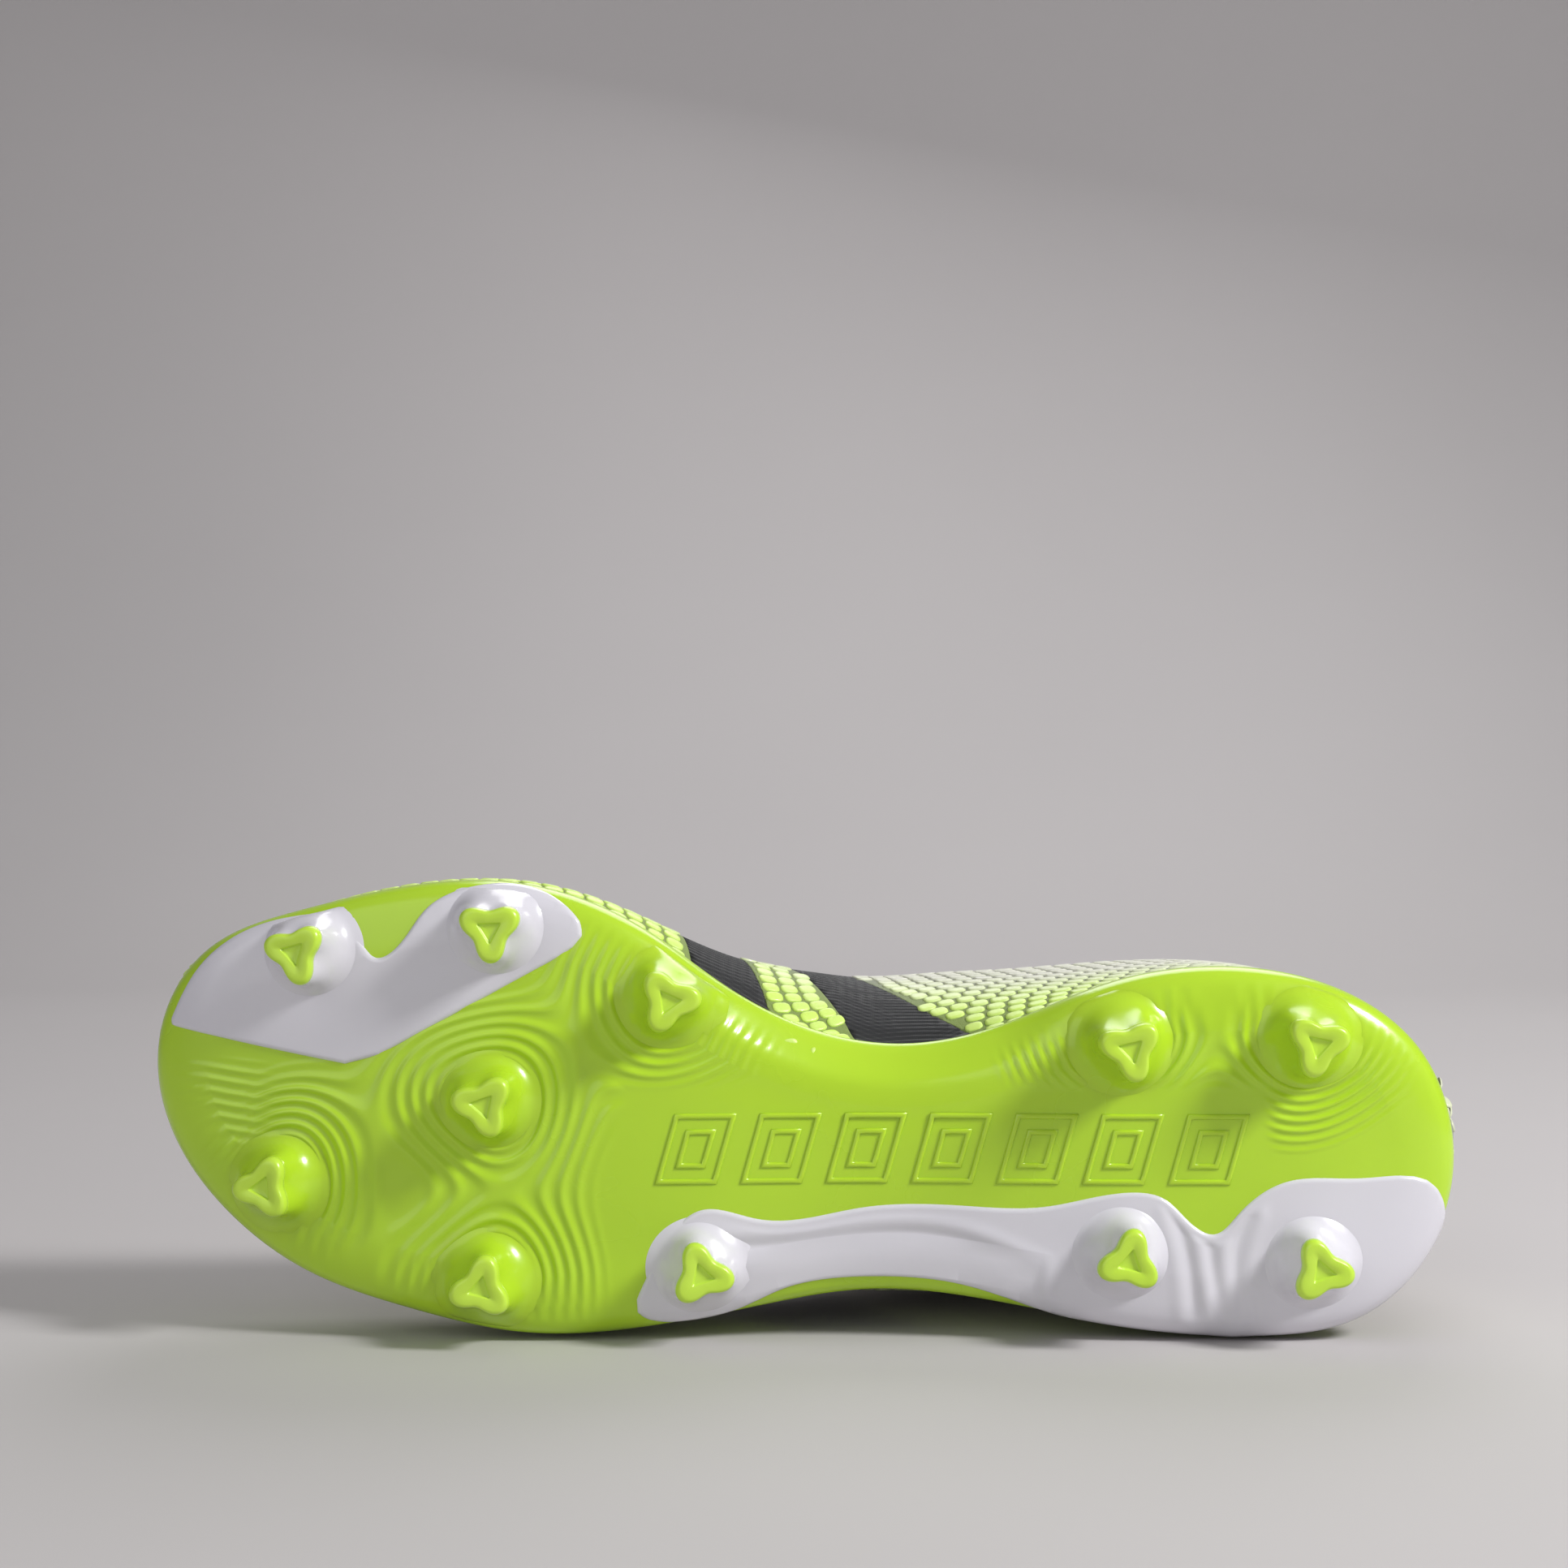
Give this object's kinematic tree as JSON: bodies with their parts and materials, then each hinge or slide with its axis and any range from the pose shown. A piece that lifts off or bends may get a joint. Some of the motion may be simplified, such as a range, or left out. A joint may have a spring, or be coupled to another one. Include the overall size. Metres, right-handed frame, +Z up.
{
  "type": "soccer cleat",
  "caption": "Firm-ground laceless soccer cleat for a right foot: glossy moulded plate with three-lobed studs, two raised inserts, scale-textured upper and knit collar",
  "frame": {"origin": "the centre of the bounding box's bottom face: the boot lies on its lateral side on the floor, as it is shown", "axes": "+X along the boot from toe to heel, +Y from the stud tips to the ankle collar (the sole faces -Y), +Z up, from the lateral side that rests on the floor to the medial side"},
  "size_m": [0.2884, 0.1162, 0.0998],
  "materials": {
    "lime_tpu": "moulded TPU, glossy",
    "white_tpu": "moulded TPU, glossy",
    "tip_tpu": "moulded TPU, satin",
    "lime_scale_skin": "textile with raised lime print in scales",
    "white_scale_skin": "textile with raised white print in scales",
    "black_knit": "ribbed knit",
    "black_binding": "folded stretch tape",
    "lining_textile": "brushed mesh",
    "stiffener": "thermoformed sheet",
    "soft_foam": "open-cell foam",
    "board": "non-woven board",
    "eva_foam": "closed-cell EVA",
    "sockliner_textile": "brushed textile",
    "webbing": "woven tape"
  },
  "bodies": {
    "shoe": {"collar_binding": "black_binding", "collar_cuff": "black_knit", "forefoot_insert": "white_tpu", "forefoot_skin": "lime_scale_skin", "heel_counter": "stiffener", "heel_tab_anchor": "webbing", "lasting_board": "board", "lateral_ankle_foam": "soft_foam", "lateral_insert": "white_tpu", "lateral_quarter_skin": "white_scale_skin", "medial_ankle_foam": "soft_foam", "medial_quarter_skin": "white_scale_skin", "medial_scale_wedge": "lime_scale_skin", "midfoot_knit": "black_knit", "outsole_plate": "lime_tpu", "quarter_lining": "lining_textile", "stud_tip_centre": "tip_tpu", "stud_tip_heel_lateral_front": "tip_tpu", "stud_tip_heel_lateral_rear": "tip_tpu", "stud_tip_heel_medial_front": "tip_tpu", "stud_tip_heel_medial_rear": "tip_tpu", "stud_tip_lateral_front": "tip_tpu", "stud_tip_lateral_mid": "tip_tpu", "stud_tip_lateral_rear": "tip_tpu", "stud_tip_medial_front": "tip_tpu", "stud_tip_medial_mid": "tip_tpu", "stud_tip_medial_rear": "tip_tpu", "toe_puff": "stiffener", "vamp_lining": "lining_textile"},
    "sockliner": {"sockliner_foam": "eva_foam", "sockliner_cover": "sockliner_textile"},
    "pull_tab": {"heel_pull_tab": "webbing"}
  },
  "joints": [
    {"name": "sockliner_lift", "type": "hinge", "parent": "shoe", "child": "sockliner", "pos_m": [-0.14141, -0.02411, 0.05723], "axis": [0, 0, 1], "range_deg": [0, 5]},
    {"name": "heel_tab_fold", "type": "hinge", "parent": "shoe", "child": "pull_tab", "pos_m": [0.14059, 0.03009, 0.04123], "axis": [0, 0, -1], "range_deg": [0, 55], "stiffness_Nm_per_rad": 0.01}
  ]
}
